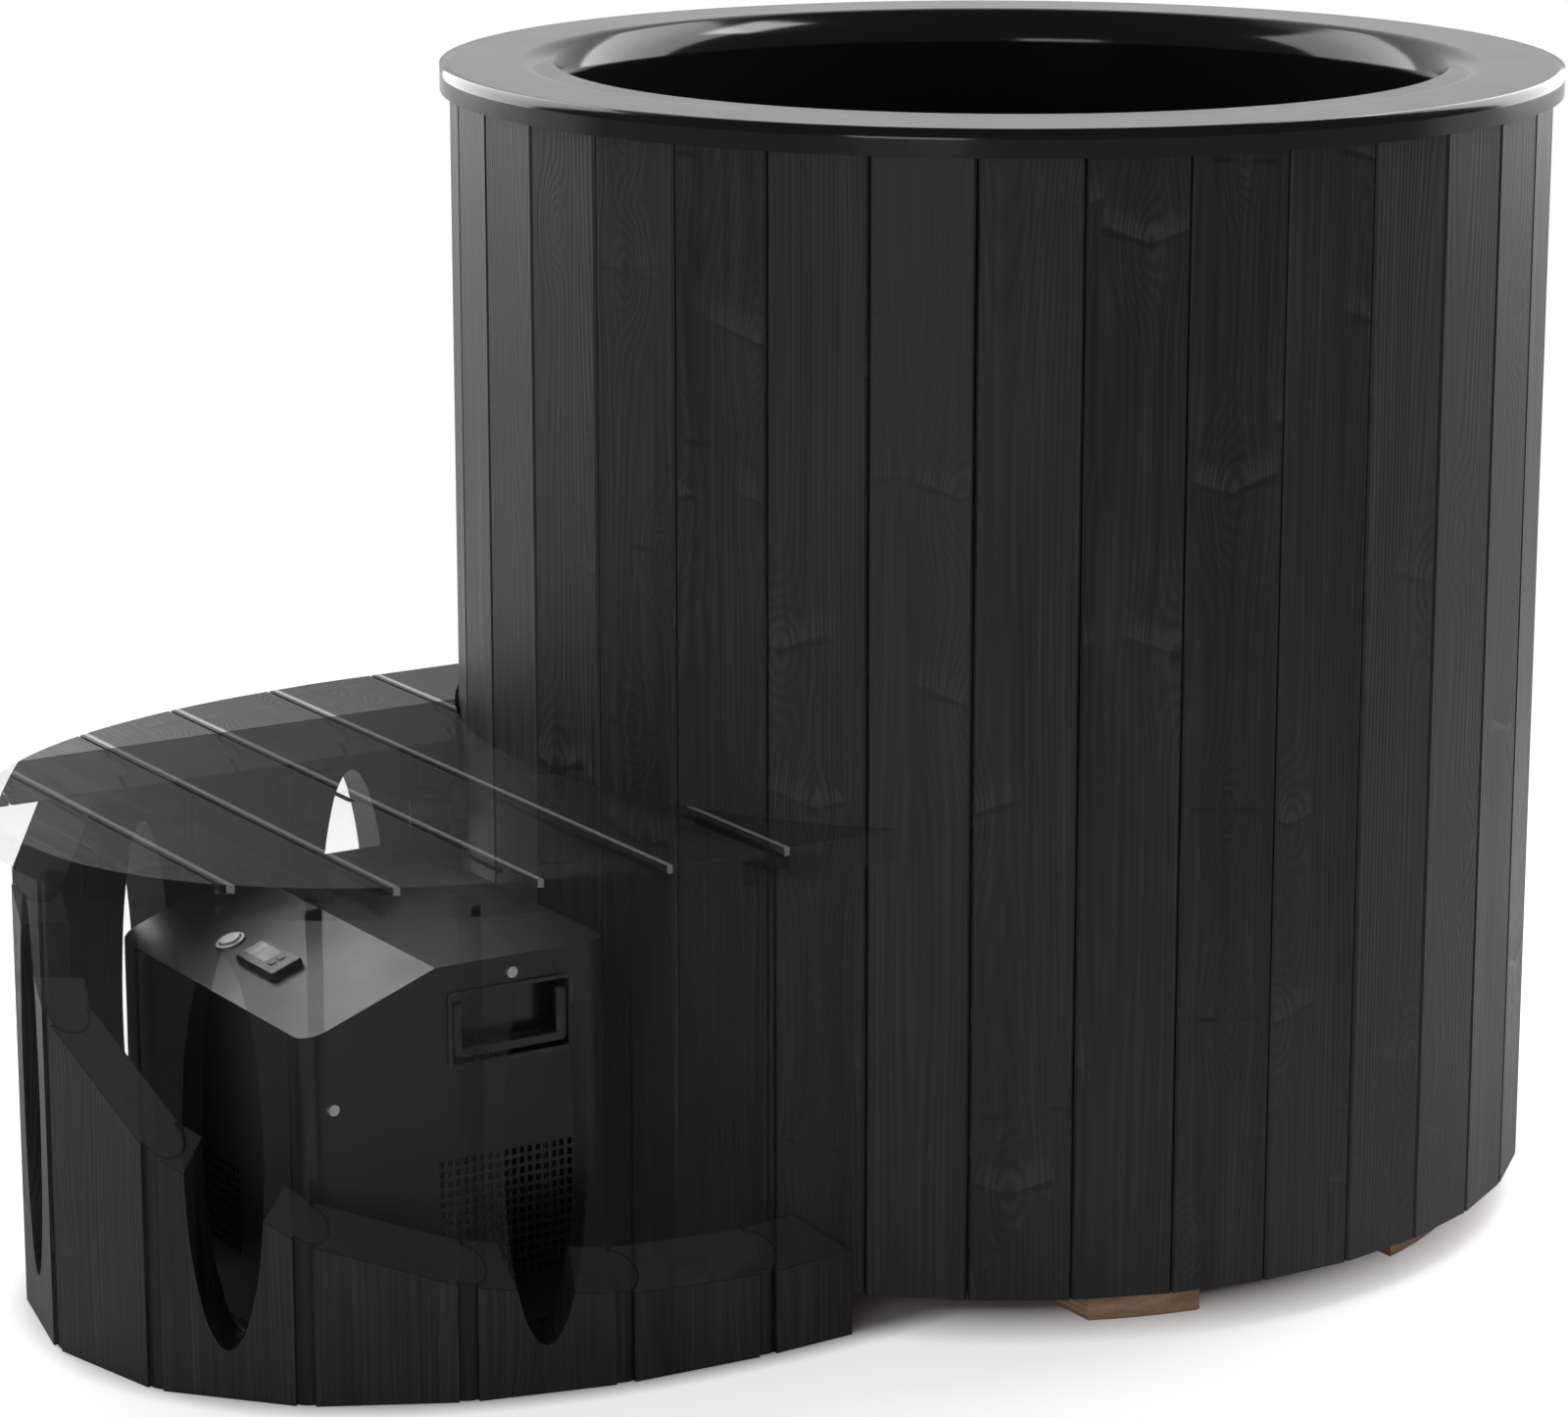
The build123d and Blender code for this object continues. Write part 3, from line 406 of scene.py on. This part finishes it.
def makeCoatTexture():
    group, ins, outs = startGroup(
        "coatTexture",
        [("Place", "NodeSocketVector"), ("Grain", "NodeSocketFloat")],
        [("Speckle", "NodeSocketFloat"), ("Smudge", "NodeSocketFloat")],
    )
    feed(group, noise(group, ins["Place"], ins["Grain"]), outs["Speckle"])
    smear = drawnNoise(group, ins["Place"], smudgeShape)
    feed(group, span(group, smear, *smudgeShape["range"]), outs["Smudge"])
    return group


# which side of the cut through the cabinet a place lies on: 1 above it
def makeSectionSide():
    group, ins, outs = startGroup(
        "sectionSide", [("Place", "NodeSocketVector")], [("Above", "NodeSocketFloat")]
    )
    axes = axesOf(group, ins["Place"])
    level = calc(group, "MULTIPLY_ADD", axes[0], section["fall"], section["height"])
    feed(group, calc(group, "GREATER_THAN", axes[2], level), outs["Above"])
    return group


# the liner's rim catches light as if its mouth and its outer edge were rolled over
rimShape = {
    "mouth": 0.446,
    "shoulder": 0.51,
    "top": 1.07,
    "mouthRoll": 0.032,
    "edgeRoll": 0.009,
    "agrees": 0.6,
}


def makeRolledRim():
    group, ins, outs = startGroup(
        "rolledRim",
        [("Place", "NodeSocketVector"), ("Facing", "NodeSocketVector")],
        [("Normal", "NodeSocketVector")],
    )
    middle = vectorCalc(group, "SUBTRACT", ins["Place"], (*tubCentre, 0.0))
    level = vectorCalc(group, "MULTIPLY", middle, (1.0, 1.0, 0.0))
    outward = vectorCalc(group, "NORMALIZE", level)
    reach = dotProduct(group, level, outward)
    high = axesOf(group, middle)[2]
    inner = calc(group, "LESS_THAN", reach, (rimShape["mouth"] + rimShape["shoulder"]) / 2)
    inPart = calc(group, "MAXIMUM", calc(group, "SUBTRACT", rimShape["mouth"], reach), 0.0)
    outPart = calc(group, "MAXIMUM", calc(group, "SUBTRACT", reach, rimShape["shoulder"]), 0.0)
    sidePart = calc(group, "SUBTRACT", outPart, product(group, inPart, inner))
    inRise = calc(group, "SUBTRACT", high, rimShape["top"] - rimShape["mouthRoll"])
    outRise = calc(group, "SUBTRACT", high, rimShape["top"] - rimShape["edgeRoll"])
    rise = calc(group, "MULTIPLY_ADD", inner, calc(group, "SUBTRACT", inRise, outRise), outRise)
    rise = calc(group, "MAXIMUM", rise, 0.0)
    sideways = addNode(group, "ShaderNodeVectorMath", operation="SCALE")
    feed(group, outward, sideways.inputs[0])
    feed(group, sidePart, sideways.inputs["Scale"])
    turned = vectorCalc(group, "ADD", sideways.outputs[0], joinAxes(group, 0.0, 0.0, rise))
    turned = vectorCalc(group, "NORMALIZE", turned)
    agrees = calc(group, "GREATER_THAN", dotProduct(group, turned, ins["Facing"]), rimShape["agrees"])
    raised = calc(group, "GREATER_THAN", high, rimShape["top"] - rimShape["mouthRoll"])
    mix = addNode(group, "ShaderNodeMix", data_type="VECTOR")
    feed(group, product(group, agrees, raised), mix.inputs[0])
    feed(group, ins["Facing"], mix.inputs[4])
    feed(group, turned, mix.inputs[5])
    feed(group, vectorCalc(group, "NORMALIZE", mix.outputs[1]), outs["Normal"])
    return group


rolledRim = makeRolledRim()
timberGrain = makeTimberGrain()
coatTexture = makeCoatTexture()
sectionSide = makeSectionSide()
print("shared effects made")


def startMaterial(name):
    material = bpy.data.materials.new(name)
    material.use_nodes = True
    tree = material.node_tree
    tree.nodes.clear()
    shader = tree.nodes.new("ShaderNodeBsdfPrincipled")
    out = tree.nodes.new("ShaderNodeOutputMaterial")
    tree.links.new(shader.outputs[0], out.inputs[0])
    place = tree.nodes.new("ShaderNodeTexCoord").outputs["Object"]
    return material, tree, shader, place


def setBump(tree, shader, height, strength, depth, normal=None):
    bump = addNode(tree, "ShaderNodeBump")
    bump.inputs["Strength"].default_value = strength
    bump.inputs["Distance"].default_value = depth
    feed(tree, height, bump.inputs["Height"])
    if normal is not None:
        feed(tree, normal, bump.inputs["Normal"])
    feed(tree, bump.outputs[0], shader.inputs["Normal"])


# brings a board's length to Z
def turnGrain(tree, place, along):
    if along == "Z":
        return place
    axes = axesOf(tree, place)
    return joinAxes(tree, axes[1], axes[2], axes[0])


# one number for each stave of the tub, from its place round the tub
def staveNumber(tree, place):
    axes = axesOf(tree, place)
    angle = calc(tree, "ARCTAN2", calc(tree, "SUBTRACT", axes[1], tubCentre[1]), axes[0])
    turns = calc(tree, "SUBTRACT", angle, math.radians(staves["phaseDegrees"]))
    return calc(tree, "FLOOR", calc(tree, "DIVIDE", turns, 2 * math.pi / staves["count"]))


# above the cut the wood is a haze: seen once by the eye, and in no light's way
def hazeAlpha(tree, place):
    above = useGroup(tree, sectionSide, Place=place)["Above"]
    path = addNode(tree, "ShaderNodeLightPath").outputs
    hidden = calc(tree, "ADD", path["Is Shadow Ray"], path["Is Diffuse Ray"])
    hidden = calc(tree, "ADD", hidden, path["Is Glossy Ray"])
    hidden = calc(tree, "ADD", hidden, path["Transparent Depth"], clamp=True)
    haze = calc(tree, "MULTIPLY_ADD", hidden, -section["haze"], section["haze"])
    lost = calc(tree, "SUBTRACT", 1.0, haze)
    return calc(tree, "SUBTRACT", 1.0, product(tree, above, lost))


# the joints of the deck: a pale line painted along each joint, standing in for light seen through between the
# boards
seamLight = {"shift": 0.0068, "half": 0.0026, "depth": 0.007, "color": (0.62, 0.6, 0.57)}


def paintSeamLight(tree, place, color):
    sides = sorted(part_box(f"deck_board_{number}")[0][1] for number in range(1, 7))[1:]
    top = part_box("deck_board_1")[1][2]
    axes = axesOf(tree, place)
    near = 0.0
    for side in sides:
        gap = calc(tree, "ABSOLUTE", calc(tree, "SUBTRACT", axes[1], side + seamLight["shift"]))
        near = calc(tree, "MAXIMUM", near, calc(tree, "LESS_THAN", gap, seamLight["half"]))
    near = product(tree, near, calc(tree, "GREATER_THAN", axes[2], top - seamLight["depth"]))
    mix = addNode(tree, "ShaderNodeMix", data_type="RGBA")
    feed(tree, near, mix.inputs[0])
    feed(tree, color, mix.inputs[6])
    feed(tree, (*seamLight["color"], 1.0), mix.inputs[7])
    return mix.outputs[2]


timberLook = {"seeds": 40.0, "middle": 0.38, "relief": 0.0006}


def timber(name, dark, light, along="Z", seed="object", roughness=(0.42, 0.6), bump=0.5, cut=False,
           lightSeams=False):
    material, tree, shader, place = startMaterial(name)
    facing = turnGrain(tree, addNode(tree, "ShaderNodeTexCoord").outputs["Normal"], along)
    if seed == "stave":
        number = staveNumber(tree, place)
    else:
        number = product(tree, addNode(tree, "ShaderNodeObjectInfo").outputs["Random"], timberLook["seeds"])
    grain = useGroup(tree, timberGrain, Place=turnGrain(tree, place, along), Facing=facing, Seed=number)
    share = timberLook["middle"]
    middle = tuple(low * (1.0 - share) + high * share for low, high in zip(dark, light))
    color = ramp(tree, grain["Tone"], [(0.0, dark), (0.5, middle), (1.0, light)])
    # painted light: a pale line along each deck joint
    if lightSeams:
        color = paintSeamLight(tree, place, color)
    feed(tree, color, shader.inputs["Base Color"])
    feed(tree, span(tree, grain["Tone"], 0.0, 1.0, *roughness), shader.inputs["Roughness"])
    setBump(tree, shader, grain["Height"], bump, timberLook["relief"])
    if cut:
        feed(tree, hazeAlpha(tree, place), shader.inputs["Alpha"])
    return material


speckleLook = {"from": 0.3, "to": 0.7, "gain": 1.35, "lift": 0.002}


def coated(name, color, roughness, grain=900.0, bump=0.25, metallic=0.0, spread=0.08, depth=0.0002,
           rolled=False):
    material, tree, shader, place = startMaterial(name)
    marks = useGroup(tree, coatTexture, Place=place, Grain=grain)
    lighter = tuple(min(1.0, part * speckleLook["gain"] + speckleLook["lift"]) for part in color)
    shade = ramp(tree, marks["Speckle"], [(speckleLook["from"], color), (speckleLook["to"], lighter)])
    feed(tree, shade, shader.inputs["Base Color"])
    worn = span(tree, marks["Smudge"], 0.0, 1.0, roughness - spread, roughness + spread)
    feed(tree, worn, shader.inputs["Roughness"])
    shader.inputs["Metallic"].default_value = metallic
    normal = None
    if rolled:
        facing = addNode(tree, "ShaderNodeTexCoord").outputs["Normal"]
        normal = useGroup(tree, rolledRim, Place=place, Facing=facing)["Normal"]
    setBump(tree, shader, marks["Speckle"], bump, depth, normal)
    return material


# finishes: colours are dark and light wood, or one coat, then roughness
stainBlack = {"dark": (0.0016, 0.0016, 0.0018), "light": (0.036, 0.036, 0.0375)}
finish = {
    "tubTimber": timber("tubTimber", stainBlack["dark"], stainBlack["light"], seed="stave"),
    "wallTimber": timber("wallTimber", stainBlack["dark"], stainBlack["light"], cut=True),
    # the deck boards carry a painted pale line of light along their joints
    "deckTimber": timber("deckTimber", stainBlack["dark"], stainBlack["light"], along="X", cut=True,
                         lightSeams=True),
    "runnerTimber": timber("runnerTimber", (0.3, 0.17, 0.1), (0.85, 0.56, 0.37), along="X"),
    "cleatTimber": timber("cleatTimber", (0.02, 0.012, 0.008), (0.1, 0.06, 0.035), along="X", cut=True),
    "boardTimber": timber("boardTimber", (0.16, 0.1, 0.05), (0.42, 0.3, 0.18), along="X"),
    "linerPlastic": coated("linerPlastic", (0.006, 0.006, 0.0065), 0.13, grain=500.0, bump=0.05, spread=0.03,
                           rolled=True),
    "foamFill": coated("foamFill", (0.6, 0.52, 0.3), 0.85, grain=260.0, bump=0.8, depth=0.001),
    "blackPlastic": coated("blackPlastic", (0.012, 0.012, 0.012), 0.4),
    "steel": coated("steel", (0.55, 0.55, 0.55), 0.28, grain=1500.0, metallic=1.0, bump=0.1),
    "blackRubber": coated("blackRubber", (0.014, 0.014, 0.014), 0.7, bump=0.4),
    "powderBlack": coated("powderBlack", (0.006, 0.006, 0.0065), 0.34, grain=1600.0, bump=0.3),
    "handleLacquer": coated("handleLacquer", (0.008, 0.008, 0.009), 0.26, bump=0.1),
    "buttonSteel": coated("buttonSteel", (0.62, 0.62, 0.62), 0.3, grain=2000.0, metallic=1.0, bump=0.1),
    "displayPlastic": coated("displayPlastic", (0.01, 0.01, 0.011), 0.3, bump=0.1),
    "fins": coated("fins", (0.55, 0.55, 0.56), 0.4, grain=700.0, metallic=1.0),
    "vesselWrap": coated("vesselWrap", (0.05, 0.05, 0.05), 0.7, bump=0.5),
}

# the display window: a pale lit field fading to one side behind dark glass
windowLook = {"shades": [(0.0, 0.3), (0.35, 0.42), (0.42, 0.06), (1.0, 0.03)], "roughness": 0.12}


def windowGlass():
    material, tree, shader, place = startMaterial("windowGlass")
    low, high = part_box("display_window")
    across = span(tree, axesOf(tree, place)[0], low[0], high[0])
    feed(tree, ramp(tree, across, windowLook["shades"]), shader.inputs["Base Color"])
    shader.inputs["Roughness"].default_value = windowLook["roughness"]
    return material


finish["windowGlass"] = windowGlass()

dressed = {
    "tubTimber": ["tub_staves"],
    "wallTimber": [f"wall_stave_{number:02d}" for number in range(1, 13)],
    "deckTimber": [f"deck_board_{number}" for number in range(1, 7)],
    "runnerTimber": ["runner_1", "runner_2"],
    "cleatTimber": ["deck_cleat_1", "deck_cleat_2"],
    "boardTimber": ["base_board", "fixing_rings"],
    "linerPlastic": ["liner"],
    "foamFill": ["insulation"],
    "blackPlastic": ["suction_fitting", "return_fitting", "fitting_nuts", "hose_spigots", "cable_gland",
                     "control_box", "pump", "fan_shroud", "fan_rotor"],
    "steel": ["drain_fitting", "casing_screws"],
    "blackRubber": ["drain_plug", "chiller_feet"],
    "powderBlack": ["chiller_casing", "chiller_base_pan", "chiller_grille_front", "chiller_grille_left",
                    "chiller_grille_right", "compressor", "fan_motor"],
    "handleLacquer": ["handle_cup_left", "handle_cup_right", "handle_bail_left", "handle_bail_right"],
    "buttonSteel": ["power_button", "button_ring"],
    "displayPlastic": ["display_housing", "display_key_1", "display_key_2"],
    "windowGlass": ["display_window"],
    "fins": ["condenser"],
    "vesselWrap": ["evaporator"],
}
for look, names in dressed.items():
    for name in names:
        data = nodes[name].data
        data.materials.clear()
        data.materials.append(finish[look])
print("finishes on", sum(len(names) for names in dressed.values()), "nodes")

# section faces: where the cut passes through the wood, its end grain shows, edged by a dark joint
sectionLook = {
    "dark": (0.02, 0.02, 0.021),
    "light": (0.045, 0.045, 0.047),
    "roughness": (0.5, 0.7),
    "joint": (0.002, 0.002, 0.002),
    "jointWidth": 0.0011,
    "below": 0.0001,
}
finish["cutWood"] = timber("cutWood", sectionLook["dark"], sectionLook["light"],
                           roughness=sectionLook["roughness"], bump=0.2)
finish["cutJoint"] = coated("cutJoint", sectionLook["joint"], 0.8)


def sectionFace(name, source, body):
    mesh = bmesh.new()
    mesh.from_mesh(source.data)
    bmesh.ops.remove_doubles(mesh, verts=mesh.verts, dist=1e-6)
    on = Vector((0.0, 0.0, section["height"]))
    normal = Vector((-section["fall"], 0.0, 1.0)).normalized()
    geometry = mesh.verts[:] + mesh.edges[:] + mesh.faces[:]
    made = bmesh.ops.bisect_plane(mesh, geom=geometry, plane_co=on - normal * sectionLook["below"],
                                  plane_no=normal, clear_outer=True, clear_inner=True)
    edges = [item for item in made["geom_cut"] if isinstance(item, bmesh.types.BMEdge)]
    if not edges:
        mesh.free()
        return
    bmesh.ops.delete(mesh, geom=mesh.faces[:], context="FACES_ONLY")
    bmesh.ops.remove_doubles(mesh, verts=mesh.verts, dist=2e-5)
    bmesh.ops.triangle_fill(mesh, edges=mesh.edges[:], use_beauty=True, normal=normal)
    edging = bmesh.ops.inset_region(mesh, faces=mesh.faces[:], thickness=sectionLook["jointWidth"],
                                    use_boundary=True, use_even_offset=False)
    for rim in edging["faces"]:
        rim.material_index = 1
    data = bpy.data.meshes.new(name)
    mesh.to_mesh(data)
    mesh.free()
    data.materials.append(finish["cutWood"])
    data.materials.append(finish["cutJoint"])
    face = bpy.data.objects.new(name, data)
    bpy.context.scene.collection.objects.link(face)
    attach(face, body)


for number in range(1, 13):
    sectionFace(f"cutFaceWall{number}", nodes[f"wall_stave_{number:02d}"], "tub")
for number in range(1, 7):
    sectionFace(f"cutFaceDeck{number}", nodes[f"deck_board_{number}"], "deck")
print("section faces made")

# floor, light and background
towardsPhoto = (0.8475, -0.5308, 0.0)

# the floor's glow is taken away under the tub and the cabinet, a painted shade there on top of the real
# shadow, and the floor turns to plain white away from them
floorLook = {
    "size": 60.0,
    "drop": 0.0005,
    "color": 0.8,
    "roughness": 0.9,
    "glow": 0.62,
    "whiteFrom": (0.9, 2.2),
    "behind": (0.4, -1.2),
    "mirrored": 0.5,
    "tubShadeFoot": (0.42, 0.52),
    "cabinetShadeFoot": {"middle": -0.2285, "half": (0.373, 0.536), "corner": 2.2, "edge": (0.8, 1.0)},
}


# 0 under the tub and under the cabinet, where shade is painted on the floor, 1 beside them
def outsideFootShade(tree, level):
    fromTub = vectorCalc(tree, "DISTANCE", level, (*tubCentre, 0.0), "Value")
    foot = floorLook["cabinetShadeFoot"]
    axes = axesOf(tree, level)
    longer = calc(tree, "DIVIDE", calc(tree, "SUBTRACT", axes[1], foot["middle"]), foot["half"][1])
    wider = calc(tree, "DIVIDE", axes[0], foot["half"][0])
    powers = [calc(tree, "POWER", calc(tree, "ABSOLUTE", part), foot["corner"]) for part in (longer, wider)]
    fromCabinet = span(tree, calc(tree, "ADD", *powers), *foot["edge"])
    return product(tree, span(tree, fromTub, *floorLook["tubShadeFoot"]), fromCabinet)


def makeFloor():
    half = floorLook["size"] / 2
    data = bpy.data.meshes.new("floor")
    corners = [(-half, -half, 0), (half, -half, 0), (half, half, 0), (-half, half, 0)]
    data.from_pydata(corners, [], [(0, 1, 2, 3)])
    floor = bpy.data.objects.new("floor", data)
    bpy.context.scene.collection.objects.link(floor)
    floor.location.z = -floorLook["drop"]
    material = bpy.data.materials.new("paleFloor")
    material.use_nodes = True
    tree = material.node_tree
    shader = tree.nodes["Principled BSDF"]
    shader.inputs["Roughness"].default_value = floorLook["roughness"]
    shader.inputs["Specular IOR Level"].default_value = 0.0
    path = addNode(tree, "ShaderNodeLightPath").outputs
    place = addNode(tree, "ShaderNodeTexCoord").outputs["Object"]
    level = vectorCalc(tree, "MULTIPLY", place, (1.0, 1.0, 0.0))
    far = vectorCalc(tree, "LENGTH", level, result="Value")
    away = product(tree, path["Is Camera Ray"], span(tree, far, *floorLook["whiteFrom"]))
    near = calc(tree, "SUBTRACT", path["Is Camera Ray"], away)
    # painted shade: the floor's glow is cut under the tub and the cabinet
    seen = calc(tree, "ADD", product(tree, outsideFootShade(tree, level), floorLook["glow"], near), away)
    feed(tree, ramp(tree, away, [(0.0, floorLook["color"]), (1.0, 0.0)]), shader.inputs["Base Color"])
    behind = span(tree, dotProduct(tree, place, towardsPhoto), *floorLook["behind"])
    mirrored = product(tree, behind, floorLook["mirrored"], path["Is Glossy Ray"])
    shader.inputs["Emission Color"].default_value = (1.0, 1.0, 1.0, 1.0)
    feed(tree, calc(tree, "ADD", seen, mirrored), shader.inputs["Emission Strength"])
    data.materials.append(material)


# white to the eye, dim as light, and in mirrors dark in front and brighter behind the tub
worldLook = {"diffuse": 0.3, "frontGlow": 0.11, "backGlow": 0.6, "back": (-0.3, -0.55), "low": (0.87, 0.75)}


def makeWorld():
    world = bpy.data.worlds.new("studioWorld")
    bpy.context.scene.world = world
    world.use_nodes = True
    tree = world.node_tree
    sky = tree.nodes["Background"]
    sky.inputs["Color"].default_value = (1.0, 1.0, 1.0, 1.0)
    path = addNode(tree, "ShaderNodeLightPath").outputs
    look = tree.nodes.new("ShaderNodeTexCoord").outputs["Generated"]
    level = vectorCalc(tree, "NORMALIZE", vectorCalc(tree, "MULTIPLY", look, (1.0, 1.0, 0.0)))
    back = span(tree, dotProduct(tree, level, towardsPhoto), *worldLook["back"])
    low = span(tree, axesOf(tree, look)[2], *worldLook["low"])
    room = calc(tree, "MULTIPLY_ADD", product(tree, back, low), worldLook["backGlow"], worldLook["frontGlow"])
    mirrored = calc(tree, "ADD", path["Is Glossy Ray"], path["Is Transmission Ray"], clamp=True)
    shown = calc(tree, "MULTIPLY_ADD", mirrored, room, path["Is Camera Ray"])
    other = calc(tree, "SUBTRACT", 1.0, calc(tree, "ADD", mirrored, path["Is Camera Ray"], clamp=True))
    feed(tree, addWeighted(tree, shown, (other, worldLook["diffuse"])), sky.inputs["Strength"])


lamps = {
    "rightPanel": {"place": (-0.2, 2.13, 1.85), "size": (1.8, 2.2), "power": 42.0, "aim": (0.0, 0.25, 1.1)},
    "leftPanel": {"place": (-2.03, -0.61, 1.85), "size": (2.2, 2.2), "power": 46.0, "aim": (0.0, 0.2, 1.1)},
    "highBox": {"place": (0.36, 1.48, 2.7), "size": (0.6, 0.6), "power": 9.0, "aim": (-0.36, 0.2, 1.05)},
    "frontFill": {"place": (2.6, -3.0, 1.3), "size": (1.6, 1.2), "power": 17.0, "aim": (0.0, 0.0, 0.2)},
}


def makeLamps():
    for name, spec in lamps.items():
        data = bpy.data.lights.new(name, "AREA")
        data.shape = "RECTANGLE"
        data.size, data.size_y = spec["size"]
        data.energy = spec["power"]
        lamp = bpy.data.objects.new(name, data)
        bpy.context.scene.collection.objects.link(lamp)
        lamp.location = spec["place"]
        lamp.rotation_euler = (Vector(spec["aim"]) - lamp.location).to_track_quat("-Z", "Y").to_euler()
        lamp.visible_camera = False


makeFloor()
makeWorld()
makeLamps()
print("studio set")
